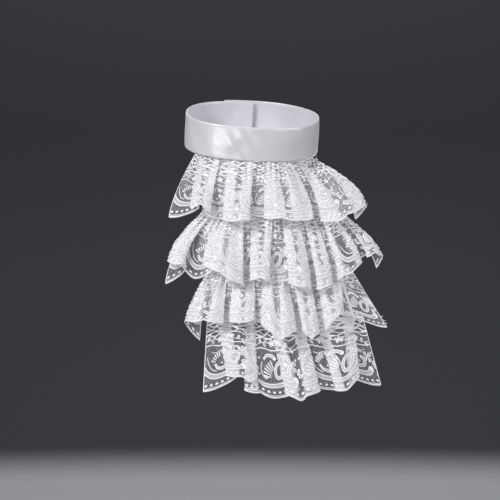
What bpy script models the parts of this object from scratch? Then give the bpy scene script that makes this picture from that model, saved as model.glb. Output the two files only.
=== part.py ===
"""Lace jabot: a satin neckband with four gathered, scalloped lace ruffles on a net panel.

Front faces -Y, +Z is up, and the origin is the middle of the ring of the neckband.
"""
import math
from collections import namedtuple

import bpy
import numpy as np
from mathutils import Matrix

MM = 0.001

# Neckband: a flat strip bent round the neck, its ends lapped at the back
BAND_HALF_WIDTH = 69.0
BAND_HALF_DEPTH = 62.5
BAND_ROUNDNESS = 2.3
BAND_HEIGHT = 36.0
BAND_WALL = 1.6
BAND_BULGE = 0.7
BAND_PITCH = 12.5
BAND_ROLL = 3.0
BAND_COLUMNS = 88
BAND_ROWS = 4

# Closure: a loop tape on the under end and a hook tape inside the upper end
LAP = 30.0
LAP_RUN = 80.0
TAPE_LENGTH = 22.0
TAPE_HEIGHT = 24.0
TAPE_WALL = 1.2
SEAM = 0.4

# Ground: the leaning, slightly bowed surface that the panel and the ruffles follow
FRONT = 52.1
TOP = -31.0
LEAN = 0.20
CHEST_BOW = 0.0012
NECK_IN = 4.4
NECK_REACH = 61.0
BOW_FADE = 50.0

# Panel: the plain net strip that carries the ruffles
PANEL_WALL = 1.0
PANEL_TOP = -27.0
PANEL_FOOT = -194.0
PANEL_INSET = 6.0
PANEL_COLUMNS = 12
PANEL_ROWS = 16

# Ruffles
LACE_WALL = 1.0
ROOT_DEEP = 1.75
VALLEY_DEEP = 13.0
FLANK = 0.75
TUCK_DEEP = 0.62
DEPTH_POWER = 1.3
GATHER = 0.75
GATHER_PITCH = 17.0
GATHER_FADE = 2.0
SCALLOP = 40.0
SCALLOP_DROP = 4.0
RUFFLE_COLUMNS = 96
RUFFLE_ROWS = 7

# One row a side edge: where it is sewn, where its lower end hangs, and how far the cloth
# runs inward behind the nearest fold before it turns back
Edge = namedtuple("Edge", "root x deep low turn")

# One row a fold: root position, the two flanks at the hem, how far forward it stands,
# how far the cloth goes back under it, and the drop of the hem along it
Fold = namedtuple("Fold", "root left right deep tuck low_left low_mid low_right low_valley")

# One row a ruffle: height of its sewn edge, whether that edge follows the neckband, how
# early it spreads at its left and right, its left edge, its folds and its right edge
Ruffle = namedtuple("Ruffle", "name root_z rise fan_left fan_right start folds end")

RUFFLES = (
    Ruffle("ruffle_1", -29.5, 1.0, 1.5, 1.9, Edge(-57, -86, 12, 63, 0), (
        Fold(-44, -63, -42, 30, 3, 50, 45, 54, 60),
        Fold(-12, -30, -2, 28, 5, 61, 63, 62, 59),
        Fold(28, 12, 63, 27, 7, 59, 62, 61, 59),
        Fold(53, 70, 117, 28, 4, 63, 62, 47, 57),
    ), Edge(60, 106, 7, 66, 0)),
    Ruffle("ruffle_2", -80.5, 0.0, 1.8, 1.5, Edge(-49, -89, 9, 80, 21), (
        Fold(-42, -86, -68, 26, 4, 54, 55, 54, 70),
        Fold(-21, -50, -9, 32, 7, 54, 67, 75, 73),
        Fold(12, -2, 18, 27, 4, 71, 68, 72, 73),
        Fold(39, 37, 60, 29, 4, 73, 78, 82, 79),
        Fold(56, 66, 82, 25, 3, 81, 78, 76, 72),
        Fold(72, 88, 112, 28, 4, 71, 66, 53, 50),
        Fold(84, 118, 134, 24, 3, 49, 44, 49, 55),
    ), Edge(88, 128, 12, 64, 0)),
    Ruffle("ruffle_3", -136.3, 0.0, 1.5, 1.0, Edge(-42, -53, 10, 80, 0), (
        Fold(-33, -68, -29, 28, 5, 57, 57, 58, 55),
        Fold(-9, -23, 3, 26, 4, 57, 57, 55, 55),
        Fold(23, 9, 45, 33, 6, 57, 75, 64, 59),
        Fold(49, 51, 68, 28, 4, 66, 73, 67, 57),
        Fold(71, 75, 93, 27, 3, 67, 56, 46, 48),
    ), Edge(98, 141, 10, 68, 0)),
    Ruffle("ruffle_4", -184.0, 0.0, 1.1, 1.0, Edge(-45, -50, 8, 84, 0), (
        Fold(-14, -26, 6, 24, 7, 63, 64, 77, 86),
        Fold(31, 34, 69, 26, 7, 80, 89, 78, 78),
        Fold(81, 85, 109, 26, 6, 80, 77, 65, 57),
    ), Edge(112, 133, 8, 79, 0)),
)


def clear_scene():
    for obj in list(bpy.data.objects):
        bpy.data.objects.remove(obj, do_unlink=True)


def cloth(name, colour, roughness, sheen):
    """A cloth material: base colour, roughness and a soft sheen."""
    mat = bpy.data.materials.new(name)
    mat.use_nodes = True
    shader = mat.node_tree.nodes["Principled BSDF"]
    shader.inputs["Base Color"].default_value = (*colour, 1.0)
    shader.inputs["Roughness"].default_value = roughness
    shader.inputs["Sheen Weight"].default_value = sheen
    return mat


def ease(t):
    """A smooth step from 0 to 1."""
    t = np.clip(t, 0.0, 1.0)
    return t * t * (3.0 - 2.0 * t)


def wall_body(name, grid, wall, mat):
    """A closed sheet of even wall about a grid of points (rows, columns, xyz) in mm."""
    along = np.gradient(grid, axis=1)
    down = np.gradient(grid, axis=0)
    normal = np.cross(along, down)
    normal /= np.linalg.norm(normal, axis=2, keepdims=True)
    rows, columns = grid.shape[:2]
    sides = (grid + normal * wall / 2, grid - normal * wall / 2)
    points = np.concatenate([side.reshape(-1, 3) for side in sides]) * MM
    back = rows * columns

    def at(row, column):
        return row * columns + column

    faces = []
    for r in range(rows - 1):
        for c in range(columns - 1):
            quad = (at(r, c), at(r + 1, c), at(r + 1, c + 1), at(r, c + 1))
            faces.append(quad[::-1])
            faces.append(tuple(i + back for i in quad))
    rim = [at(0, c) for c in range(columns)]
    rim += [at(r, columns - 1) for r in range(1, rows)]
    rim += [at(rows - 1, c) for c in range(columns - 2, -1, -1)]
    rim += [at(r, 0) for r in range(rows - 2, 0, -1)]
    for i, a in enumerate(rim):
        b = rim[(i + 1) % len(rim)]
        faces.append((a, b, b + back, a + back)[::-1])
    mesh = bpy.data.meshes.new(name)
    mesh.from_pydata([tuple(p) for p in points], [], faces)
    mesh.validate()
    mesh.materials.append(mat)
    obj = bpy.data.objects.new(name, mesh)
    bpy.context.scene.collection.objects.link(obj)
    return obj


def plan_curve(half_width, half_depth, count=1441):
    """The ring of the neckband seen from above, from the back round to the back."""
    turn = np.linspace(0.0, 2.0 * math.pi, count)
    sx, sy = np.sin(turn), np.cos(turn)
    x = half_width * np.sign(sx) * np.abs(sx) ** (2.0 / BAND_ROUNDNESS)
    y = half_depth * np.sign(sy) * np.abs(sy) ** (2.0 / BAND_ROUNDNESS)
    return np.stack([-x, y], axis=1)


def band_grid(start, end, lift, height, columns, rows):
    """Points of a strip on the ring between two lengths, moved outward by lift(length)."""
    ring = plan_curve(BAND_HALF_WIDTH, BAND_HALF_DEPTH)
    step = np.linalg.norm(np.diff(ring, axis=0), axis=1)
    length = np.concatenate([[0.0], np.cumsum(step)])
    total = length[-1]
    s = np.linspace(start, end, columns + 1)
    point = np.stack([np.interp(s % total, length, ring[:, k]) for k in (0, 1)], axis=1)
    way = np.stack([np.interp(s % total, length, np.gradient(ring[:, k])) for k in (0, 1)], axis=1)
    out = np.stack([-way[:, 1], way[:, 0]], axis=1)
    out /= np.linalg.norm(out, axis=1, keepdims=True)
    out *= np.sign(np.sum(out * point, axis=1, keepdims=True))
    grid = np.zeros((rows + 1, columns + 1, 3))
    for r, z in enumerate(np.linspace(height / 2, -height / 2, rows + 1)):
        bulge = BAND_BULGE * (1.0 - (2.0 * z / BAND_HEIGHT) ** 2)
        grid[r, :, :2] = point + out * (lift(s) + bulge)[:, None]
        grid[r, :, 2] = z
    return tilt(grid)


def ring_length():
    ring = plan_curve(BAND_HALF_WIDTH, BAND_HALF_DEPTH)
    return float(np.linalg.norm(np.diff(ring, axis=0), axis=1).sum())


def tilt(grid):
    """Pitches the ring down at the front and rolls it down at +X."""
    turn = Matrix.Rotation(math.radians(BAND_ROLL), 3, "Y")
    turn = turn @ Matrix.Rotation(math.radians(BAND_PITCH), 3, "X")
    return grid @ np.array(turn).T


def lap_lift():
    """How far the upper end stands off the under end: two tapes and three seams."""
    return BAND_WALL + 2 * TAPE_WALL + 3 * SEAM


def make_neckband(mat):
    total = ring_length()

    def lift(s):
        return lap_lift() * ease((s - total + LAP_RUN - LAP / 2) / (LAP_RUN - LAP / 2))

    grid = band_grid(0.0, total + LAP, lift, BAND_HEIGHT, BAND_COLUMNS, BAND_ROWS)
    return wall_body("neckband", grid, BAND_WALL, mat)


def make_tape(name, start, stand, mat):
    grid = band_grid(start, start + TAPE_LENGTH, lambda s: stand + 0.0 * s, TAPE_HEIGHT, 8, 3)
    return wall_body(name, grid, TAPE_WALL, mat)


def make_closure(mat):
    inset = (LAP - TAPE_LENGTH) / 2
    stand = BAND_WALL / 2 + SEAM + TAPE_WALL / 2
    make_tape("loop_tape", inset, stand, mat)
    make_tape("hook_tape", ring_length() + inset, stand + TAPE_WALL + SEAM, mat)


def neck_bow(x):
    """How far the ring, a little inside the neckband, falls back from its front."""
    across = np.minimum(np.abs(x), NECK_REACH) / (BAND_HALF_WIDTH - NECK_IN)
    share = (1.0 - across ** BAND_ROUNDNESS) ** (1.0 / BAND_ROUNDNESS)
    return (BAND_HALF_DEPTH - NECK_IN) * (1.0 - share)


def ground(x, z, deep):
    """A point standing deep mm in front of the ground surface."""
    near_neck = ease((z - TOP + BOW_FADE) / BOW_FADE)
    bow = near_neck * neck_bow(x) + (1.0 - near_neck) * CHEST_BOW * x * x
    y = -(FRONT + LEAN * (TOP - z) + deep) + bow
    return np.stack([x, y, z], axis=-1)


def neck_rise(x):
    """The height of the lower edge of the tilted neckband against its front."""
    back = neck_bow(x) * math.sin(math.radians(BAND_PITCH))
    return back - x * math.sin(math.radians(BAND_ROLL))


def make_panel(mat):
    first, last = RUFFLES[0], RUFFLES[-1]
    down = np.linspace(0.0, 1.0, PANEL_ROWS + 1)[:, None]
    across = np.linspace(0.0, 1.0, PANEL_COLUMNS + 1)[None, :]
    left = first.start.root + PANEL_INSET + (last.start.root - first.start.root) * down
    right = first.end.root - PANEL_INSET + (last.end.root - first.end.root) * down
    x = left + (right - left) * across
    z = PANEL_TOP + (PANEL_FOOT - PANEL_TOP) * down + neck_rise(x) * (1.0 - down) ** 3
    return wall_body("backing_panel", ground(x, z, -PANEL_WALL / 2), PANEL_WALL, mat)


def hem_knots(ruffle):
    """Rows of (hem x, hem deep, hem drop, root x) along a ruffle, edge to edge."""
    folds = ruffle.folds
    start, end = ruffle.start, ruffle.end
    knots = [(start.x, start.deep, start.low, start.root)]
    if start.turn:
        first = folds[0]
        knots.append((start.x + start.turn, start.deep, (start.low + 3 * first.low_left) / 4,
                      (3 * start.root + first.root) / 4))
    for i, f in enumerate(folds):
        width = f.right - f.left
        before = start.root if i == 0 else (folds[i - 1].root + f.root) / 2
        after = end.root if i == len(folds) - 1 else (f.root + folds[i + 1].root) / 2
        reach = f.root - before
        if i > 0:
            knots.append((f.left + f.tuck, f.deep * TUCK_DEEP, f.low_left, before + reach * 0.3))
        knots.append((f.left, f.deep * FLANK, f.low_left, before + reach * 0.5))
        knots.append((f.left + width * 0.25, f.deep * 0.98, (f.low_left + f.low_mid) / 2,
                      before + reach * 0.75))
        knots.append((f.left + width * 0.5, f.deep, f.low_mid, f.root))
        reach = after - f.root
        knots.append((f.right - width * 0.25, f.deep * 0.98, (f.low_mid + f.low_right) / 2,
                      f.root + reach * 0.25))
        knots.append((f.right, f.deep * FLANK, f.low_right, f.root + reach * 0.5))
        if i < len(folds) - 1:
            knots.append((f.right - f.tuck, f.deep * TUCK_DEEP, f.low_right, f.root + reach * 0.7))
            middle = (f.right + folds[i + 1].left) / 2
            knots.append((middle, VALLEY_DEEP, f.low_valley, after))
    knots.append((end.x, end.deep, end.low, end.root))
    return np.array(knots, dtype=float)


def smooth_line(knots, fine=24):
    """A centripetal spline through the knots, with fine points in each gap."""
    first = 2 * knots[0] - knots[1]
    last = 2 * knots[-1] - knots[-2]
    line = np.vstack([first, knots, last])
    gap = np.sqrt(np.linalg.norm(np.diff(line[:, :2], axis=0), axis=1))
    at = np.concatenate([[0.0], np.cumsum(np.maximum(gap, 0.3))])
    out = []
    for i in range(1, len(line) - 2):
        p, k = line[i - 1:i + 3], at[i - 1:i + 3]
        for t in np.linspace(k[1], k[2], fine, endpoint=False):
            a = [p[j] + (p[j + 1] - p[j]) * (t - k[j]) / (k[j + 1] - k[j]) for j in range(3)]
            b = [a[j] + (a[j + 1] - a[j]) * (t - k[j]) / (k[j + 2] - k[j]) for j in range(2)]
            out.append(b[0] + (b[1] - b[0]) * (t - k[1]) / (k[2] - k[1]))
    out.append(knots[-1])
    return np.array(out)


def ruffle_grid(ruffle, columns, rows):
    """Points of a gathered ruffle, sewn edge first, even along the cloth of its hem."""
    line = smooth_line(hem_knots(ruffle))
    step = np.linalg.norm(np.diff(line[:, :2], axis=0), axis=1)
    length = np.concatenate([[0.0], np.cumsum(step)])
    s = np.linspace(0.0, length[-1], columns + 1)
    hem_x, hem_deep, low, root_x = (np.interp(s, length, line[:, k]) for k in range(4))
    scallops = max(1, round(length[-1] / SCALLOP))
    phase = s / length[-1] * scallops
    cut = SCALLOP_DROP * (1.0 - np.abs(np.sin(math.pi * phase)) ** 0.7)
    v = np.linspace(0.0, 1.0, rows + 1)[:, None]
    fan = ruffle.fan_left + (ruffle.fan_right - ruffle.fan_left) * s / length[-1]
    spread = 1.0 - (1.0 - v) ** fan
    x = root_x + (hem_x - root_x) * spread
    wave = GATHER * np.sin(2.0 * math.pi * s / GATHER_PITCH) * (1.0 - v) ** GATHER_FADE
    deep = ROOT_DEEP + (hem_deep - ROOT_DEEP) * v ** DEPTH_POWER + wave
    z = ruffle.root_z + ruffle.rise * neck_rise(root_x) * (1.0 - v) - (low - cut) * v
    return ground(x, z, deep)


def build():
    clear_scene()
    satin = cloth("satin", (0.80, 0.79, 0.75), 0.32, 0.2)
    lace = cloth("lace", (0.86, 0.86, 0.84), 0.75, 0.3)
    net = cloth("net", (0.82, 0.82, 0.80), 0.85, 0.2)
    tape = cloth("tape", (0.80, 0.80, 0.78), 0.9, 0.1)
    make_neckband(satin)
    make_closure(tape)
    make_panel(net)
    for ruffle in RUFFLES:
        wall_body(ruffle.name, ruffle_grid(ruffle, RUFFLE_COLUMNS, RUFFLE_ROWS), LACE_WALL, lace)


build()
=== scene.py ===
# %% [markdown]
# # A lace jabot with a satin neckband
# A jabot is a fall of lace that is worn at the throat. This one has a stiff satin neckband,
# closed at the back of the neck, and four gathered lace ruffles that hang in tiers below it.
# The lesson dresses a plain solid model of it. Each piece keeps the form and the size of its
# solid, and gets what a solid can't show: net that light passes through, thick outline
# threads, and satin with soft creases.

# %% Load the solid model
import math
from collections import namedtuple

import bpy
import numpy as np
from mathutils import Matrix


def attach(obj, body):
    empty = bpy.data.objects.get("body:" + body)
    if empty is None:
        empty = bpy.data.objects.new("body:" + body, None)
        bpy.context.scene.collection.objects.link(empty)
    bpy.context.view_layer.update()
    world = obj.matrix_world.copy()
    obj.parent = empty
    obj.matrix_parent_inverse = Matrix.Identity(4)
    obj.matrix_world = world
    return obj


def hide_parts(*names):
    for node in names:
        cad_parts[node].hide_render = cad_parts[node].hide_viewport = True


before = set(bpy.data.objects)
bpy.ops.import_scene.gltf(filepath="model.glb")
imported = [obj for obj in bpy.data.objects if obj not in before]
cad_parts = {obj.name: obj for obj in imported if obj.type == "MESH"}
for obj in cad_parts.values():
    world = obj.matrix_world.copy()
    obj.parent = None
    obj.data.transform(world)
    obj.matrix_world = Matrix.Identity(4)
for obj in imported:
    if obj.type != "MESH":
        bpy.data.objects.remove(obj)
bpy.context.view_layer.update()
MM = 0.001
print("nodes:", ", ".join(sorted(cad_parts)))

# %% [markdown]
# ## The camera
# A long lens from far off keeps the ruffles in proportion. Its length follows from how many
# millimetres of the garment one pixel of the picture spans. Here and in the room, places are
# in metres; everything on the garment itself is in millimetres.

# %% Camera
PICTURE_WIDE = 500.0
MM_A_PIXEL = 1.05
SENSOR_WIDE = 36.0
MM_AWAY = 2600.0
CAMERA_PLACE = (-0.0021, -2.6029, 0.0113)
CAMERA_DIP = 3.0
CAMERA_SEES = 20.0


def add_camera():
    """The camera in front of the garment, a little above it and dipped a little."""
    data = bpy.data.cameras.new("camera")
    data.sensor_width = SENSOR_WIDE
    data.lens = SENSOR_WIDE * MM_AWAY / (MM_A_PIXEL * PICTURE_WIDE)
    data.clip_end = CAMERA_SEES
    camera = bpy.data.objects.new("camera", data)
    camera.location = CAMERA_PLACE
    camera.rotation_euler = (math.radians(90.0 - CAMERA_DIP), 0.0, 0.0)
    bpy.context.scene.collection.objects.link(camera)
    bpy.context.scene.camera = camera
    return camera


print("lens:", round(add_camera().data.lens), "mm")

# %% Put a mesh in the scene
def add_mesh(name, points, faces, *finishes):
    """A smooth-shaded mesh object from points in millimetres."""
    mesh = bpy.data.meshes.new(name)
    mesh.from_pydata((np.asarray(points) * MM).tolist(), [], [tuple(f) for f in faces])
    for finish in finishes:
        mesh.materials.append(finish)
    mesh.shade_smooth()
    obj = bpy.data.objects.new(name, mesh)
    bpy.context.scene.collection.objects.link(obj)
    return obj


def triangles(obj):
    """How many triangles a mesh comes to."""
    return sum(len(p.vertices) - 2 for p in obj.data.polygons)


# %% [markdown]
# ## Shader maths that reads as maths
# A finish is a network of nodes. Adding them one by one hides the idea, so a small class
# wraps a socket: an expression such as `1 - threads * 0.5` adds the Math nodes that work it
# out. Every other node goes through one method that sets its options and then its sockets.

# %% A socket that does maths
class Shade:
    """A socket of a material, so that a sum written in Python adds its Math node."""

    def __init__(self, tree, socket=None):
        self.tree = tree
        self.socket = socket

    def node(self, kind, settings=None, sockets=None, out=0):
        """Adds a node: its settings first, then the values or links of its sockets."""
        made = self.tree.nodes.new(kind)
        for name, value in (settings or {}).items():
            setattr(made, name, value)
        for name, value in (sockets or {}).items():
            if isinstance(value, Shade):
                self.tree.links.new(value.socket, made.inputs[name])
            else:
                made.inputs[name].default_value = value
        return Shade(self.tree, made.outputs[out])

    def _maths(self, operation, *terms):
        """Adds a Math node that works on one term or two."""
        return self.node("ShaderNodeMath", {"operation": operation}, dict(enumerate(terms)))

    def __add__(self, other):
        return self._maths("ADD", self, other)

    def __radd__(self, other):
        return self._maths("ADD", other, self)

    def __sub__(self, other):
        return self._maths("SUBTRACT", self, other)

    def __rsub__(self, other):
        return self._maths("SUBTRACT", other, self)

    def __mul__(self, other):
        return self._maths("MULTIPLY", self, other)

    def __rmul__(self, other):
        return self._maths("MULTIPLY", other, self)

    def fraction(self):
        return self._maths("FRACT", self)

    def sine(self):
        return self._maths("SINE", self)

    def size(self):
        return self._maths("ABSOLUTE", self)

    def larger(self, other):
        return self._maths("MAXIMUM", self, other)

    def between(self, low, high):
        """0 below low, 1 above high and a soft step from one to the other."""
        sockets = {"Value": self, "From Min": low, "From Max": high}
        return self.node("ShaderNodeMapRange", {"interpolation_type": "SMOOTHSTEP"}, sockets)

    def mix(self, low, high):
        """One colour where the value is 0 and another where it is 1."""
        # The sockets go by number, because a Mix node has several of each name.
        sockets = {0: self, 6: (*low, 1.0), 7: (*high, 1.0)}
        return self.node("ShaderNodeMix", {"data_type": "RGBA"}, sockets, out=2)

    def noise(self, scale, detail):
        """A soft wobble from 0 to 1, looked up at this place."""
        sockets = {"Vector": self, "Scale": scale, "Detail": detail}
        return self.node("ShaderNodeTexNoise", sockets=sockets)

    def bump(self, distance, strength=0.5):
        """The normal of a surface that has this height."""
        sockets = {"Strength": strength, "Distance": distance, "Height": self}
        return self.node("ShaderNodeBump", sockets=sockets)


def new_finish(name, colour, roughness, sheen=0.0):
    """A cloth material, its main shader and a first Shade to add nodes with."""
    material = bpy.data.materials.new(name)
    material.use_nodes = True
    shader = material.node_tree.nodes["Principled BSDF"]
    shader.inputs["Base Color"].default_value = (*colour, 1.0)
    shader.inputs["Roughness"].default_value = roughness
    shader.inputs["Sheen Weight"].default_value = sheen
    return material, shader, Shade(material.node_tree)


def feed(shade, shader, name):
    """Links a value to a socket of the main shader."""
    shade.tree.links.new(shade.socket, shader.inputs[name])


def place_on(shade, name):
    """The two numbers that a UV map holds at a point."""
    place = shade.node("ShaderNodeUVMap", {"uv_map": name})
    return tuple(shade.node("ShaderNodeSeparateXYZ", sockets={"Vector": place}, out=axis)
                 for axis in ("X", "Y"))


CLOTH_SCALE = 500.0


def cloth_xy(shade):
    """Where a point lies on the flat cloth, in millimetres, read from its UV map."""
    across, down = place_on(shade, "UVMap")
    return across * CLOTH_SCALE, down * CLOTH_SCALE


print("a UV of 1 is", CLOTH_SCALE, "mm of cloth")

# %% [markdown]
# ## The room
# Fine white lace is hard to see on white. So the floor is pale, but it runs up into a dark,
# calm grey wall in one smooth sweep. It goes all the way round, so that every side of the
# jabot is seen in the same room.

# %% Floor and wall
FLOOR = -1.12
WALL_AWAY = 6.0
WALL_BEND = 1.1
WALL_TALL = 3.6
FADE_START = 0.002
FADE_END = 0.09
FLOOR_PALE = (0.38, 0.38, 0.395)
WALL_GREY = (0.029, 0.032, 0.038)


def room_finish():
    """Paint that is pale on the floor and turns dark grey at the foot of the wall."""
    material, shader, shade = new_finish("room", FLOOR_PALE, 0.9)
    place = shade.node("ShaderNodeNewGeometry")
    height = shade.node("ShaderNodeSeparateXYZ", sockets={"Vector": place}, out="Z")
    on_wall = height.between(FLOOR + FADE_START, FLOOR + FADE_END)
    feed(on_wall.mix(FLOOR_PALE, WALL_GREY), shader, "Base Color")
    return material


def add_sweep(turns=72, bend=16):
    """A round floor that curves up into a wall on every side, open at the top."""
    profile = [(0.0, 0.0), (WALL_AWAY - WALL_BEND, 0.0)]
    for turn in np.radians(np.linspace(0.0, 90.0, bend + 1)[1:]):
        away = WALL_AWAY - WALL_BEND * (1.0 - math.sin(turn))
        profile.append((away, WALL_BEND * (1.0 - math.cos(turn))))
    profile.append((WALL_AWAY, WALL_TALL))
    around = np.radians(np.arange(turns) * 360.0 / turns)
    points = [(r * math.cos(a), r * math.sin(a), z + FLOOR) for r, z in profile for a in around]
    faces = []
    for i in range(len(profile) - 1):
        for k in range(turns):
            a, b = i * turns + k, i * turns + (k + 1) % turns
            faces.append((a, b, b + turns, a + turns) if i else (a, b + turns, a + turns))
    sweep = add_mesh("studio_sweep", np.array(points) / MM, faces, room_finish())
    return sweep


print("room:", triangles(add_sweep()), "triangles, its floor at", FLOOR, "m")

# %% [markdown]
# ## The light
# The key lamp stands to the front left, so that the folds turn from light to shade across the
# garment, and a wide lamp on the right fills the shade. The neckband leans down at the front,
# and only a lamp below it can give its satin a highlight, so a weak one stands low on the
# left. One low at the back lights the panel, and the last one lights the far floor. Each layer
# of net that a ray of light passes counts as one bounce, so many bounces are allowed.

# %% Lamps and world
Lamp = namedtuple("Lamp", "name place size power aim")
LAMPS = (
    Lamp("key_lamp", (-1.2, -1.3, 0.85), 0.45, 28.0, (0.0, -0.06, -0.05)),
    Lamp("fill_lamp", (1.8, -1.2, 0.4), 1.4, 23.0, (0.0, -0.06, -0.05)),
    Lamp("low_lamp", (-0.98, -1.22, -0.49), 0.45, 5.4, (0.0, -0.06, 0.0)),
    Lamp("back_lamp", (0.3, 1.35, -0.5), 0.66, 22.0, (0.0, -0.06, -0.1)),
    Lamp("floor_lamp", (0.0, 4.4, 2.0), 2.6, 62.0, (0.0, 4.5, -1.2)),
)
WORLD_COLOUR = (0.9, 0.93, 1.0, 1.0)
WORLD_STRENGTH = 0.45
CLEAR_BOUNCES = 48


def add_lamp(lamp):
    """A soft square lamp, in metres and watts, that looks at its aim."""
    data = bpy.data.lights.new(lamp.name, "AREA")
    data.size = lamp.size
    data.energy = lamp.power
    obj = bpy.data.objects.new(lamp.name, data)
    obj.location = lamp.place
    way = np.array(lamp.aim) - np.array(lamp.place)
    dip = math.atan2(-way[2], math.hypot(way[0], way[1]))
    obj.rotation_euler = (0.0, math.radians(-90.0) + dip, math.atan2(way[1], way[0]))
    bpy.context.scene.collection.objects.link(obj)
    return obj


def light_world(scene):
    """An even light from all round, and the rules for light and colour."""
    world = bpy.data.worlds.new("studio")
    world.use_nodes = True
    background = world.node_tree.nodes["Background"]
    background.inputs["Color"].default_value = WORLD_COLOUR
    background.inputs["Strength"].default_value = WORLD_STRENGTH
    scene.world = world
    scene.cycles.transparent_max_bounces = CLEAR_BOUNCES
    scene.view_settings.view_transform = "Standard"


print("lamps:", [add_lamp(lamp).name for lamp in LAMPS])
light_world(bpy.context.scene)

# %% [markdown]
# ## The satin
# Satin is woven with long floats of thread, so it is smooth and takes a soft, broad
# highlight. A low roughness gives the highlight; a bump of very soft, wide creases breaks it
# up, as on a band that has been worn. A fine line across it stands for the weave.

# %% Satin finish
SATIN_WHITE = (0.68, 0.675, 0.71)
SATIN_WEAVE = 0.55
CREASES_A_MM = 0.045
RUMPLES_A_MM = 0.16
SATIN_BUMP = 0.0019


def satin_finish():
    """A smooth, broad highlight, broken up by soft creases and a fine weave."""
    material, shader, shade = new_finish("satin", SATIN_WHITE, 0.36, 0.1)
    shader.inputs["Anisotropic"].default_value = 0.6
    shader.inputs["Specular IOR Level"].default_value = 1.0
    shader.inputs["Metallic"].default_value = 0.16
    across, down = cloth_xy(shade)
    flat = shade.node("ShaderNodeCombineXYZ", sockets={"X": across, "Y": down})
    soft = flat.noise(CREASES_A_MM, 2.0)
    weave = (down * (2.0 * math.pi / SATIN_WEAVE)).sine()
    height = soft + flat.noise(RUMPLES_A_MM, 1.0) * 0.12 + weave * 0.006
    feed(height.bump(SATIN_BUMP), shader, "Normal")
    feed(soft.between(0.35, 0.7) * 0.08 + 0.32, shader, "Roughness")
    return material


SATIN = satin_finish()
print("finish:", SATIN.name)

# %% [markdown]
# ## Three kinds of lace work
# Lace has an open net for its ground, close cloth work for petals and ribbons, and a thick
# outline thread round them. The net is one sheet, and its holes are cut by the Alpha socket:
# two sets of slanted threads make diamonds. Where a fold lies doubled, the layers behind fill
# most of the holes and the lace looks nearly solid, so a second UV map says where that is and
# closes the net there, more in some places than in others, as a pattern behind it would. This
# is partly painted light: the layers behind lie in the front layer's shade, and the closed net
# shows the front layer's lit white in their place. The cloth work and the outline threads are
# real geometry on the net, so that they stand off it and catch the light.

# %% Net, cloth work and thread
NET_WHITE = (0.80, 0.80, 0.825)
WORK_WHITE = (0.84, 0.84, 0.865)
THREAD_WHITE = (0.85, 0.85, 0.875)
TAPE_WHITE = (0.83, 0.83, 0.81)
NET_PITCH = 1.25
NET_THREAD = 0.105
NET_LEAN = 0.62
CLOSED_LEAST = 0.48
CLOSED_MORE = 0.42
NET_DENSEST = 0.96
WORK_DENSITY = 0.62
RIB_ACROSS = 0.9
RIB_DOWN = 0.7
RIB_BUMP = 0.0003


def net_finish():
    """Slanted threads with holes between them, closed where layers lie behind: doubled lace,
    partly painted brightness.
    """
    material, shader, shade = new_finish("net", NET_WHITE, 0.8, 0.1)
    across, down = cloth_xy(shade)
    edge = NET_THREAD / NET_PITCH / 2.0

    def threads(lean):
        place = ((across + down * lean) * (1.0 / NET_PITCH)).fraction() - 0.5
        return 1.0 - place.size().between(edge * 0.7, edge * 1.3)

    mesh = threads(NET_LEAN).larger(threads(-NET_LEAN))
    doubled = place_on(shade, "Layers")[0]
    flat = shade.node("ShaderNodeCombineXYZ", sockets={"X": across * 0.4, "Y": down})
    closed = flat.noise(0.55, 1.0).between(0.40, 0.56) * CLOSED_MORE + CLOSED_LEAST
    # The closed net shows the front layer's lit white where the layers behind lie in shade:
    # painted brightness on top of the real doubling.
    feed(mesh.larger(doubled * closed) * NET_DENSEST, shader, "Alpha")
    return material


def cloth_work_finish():
    """Close, thin weaving with ribs both ways, which still lets some light through."""
    material, shader, shade = new_finish("cloth_work", WORK_WHITE, 0.72, 0.1)
    shader.inputs["Alpha"].default_value = WORK_DENSITY
    across, down = cloth_xy(shade)
    ribs = (across * (2.0 * math.pi / RIB_ACROSS)).sine()
    ribs = ribs + (down * (2.0 * math.pi / RIB_DOWN)).sine()
    feed(ribs.bump(RIB_BUMP), shader, "Normal")
    return material


NET = net_finish()
CLOTH_WORK = cloth_work_finish()
THREAD = new_finish("outline_thread", THREAD_WHITE, 0.6, 0.1)[0]
TAPE = new_finish("fastening_tape", TAPE_WHITE, 0.95, 0.4)[0]
print("net mesh", NET_PITCH, "mm, thread", NET_THREAD, "mm")

# %% [markdown]
# ## The shape that everything hangs on
# The solids follow one leaning surface, bowed round the neck at the top and over the chest
# below. The same short functions are used here, so a fine sheet lies where its plain solid
# lies. Lengths are in millimetres, -Y is the front, and the ring of the neckband is the
# origin.

# %% Neckband sizes and the ring
BAND_HALF_WIDTH = 69.0
BAND_HALF_DEPTH = 62.5
BAND_ROUNDNESS = 2.3
BAND_HEIGHT = 36.0
BAND_BULGE = 0.7
BAND_PITCH = 12.5
BAND_ROLL = 3.0
BAND_WALL = 1.6
TAPE_WALL = 1.2
TAPE_GAP = 0.4
LAP = 30.0
LAP_RUN = 80.0
LAP_LIFT = BAND_WALL + 2 * TAPE_WALL + 3 * TAPE_GAP


def ease(t):
    """A smooth step from 0 to 1."""
    t = np.clip(t, 0.0, 1.0)
    return t * t * (3.0 - 2.0 * t)


def ring_curve(count=2881):
    """The ring seen from above, from the back round to the back, and its running length."""
    turn = np.linspace(0.0, 2.0 * math.pi, count)
    sx, sy = np.sin(turn), np.cos(turn)
    x = -BAND_HALF_WIDTH * np.sign(sx) * np.abs(sx) ** (2.0 / BAND_ROUNDNESS)
    y = BAND_HALF_DEPTH * np.sign(sy) * np.abs(sy) ** (2.0 / BAND_ROUNDNESS)
    step = np.hypot(np.diff(x), np.diff(y))
    return x, y, np.concatenate([[0.0], np.cumsum(step)])


def tilt(points):
    """Pitches the ring down at the front and rolls it down at +X."""
    turn = Matrix.Rotation(math.radians(BAND_ROLL), 3, "Y")
    turn = turn @ Matrix.Rotation(math.radians(BAND_PITCH), 3, "X")
    return points @ np.array(turn).T


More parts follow.
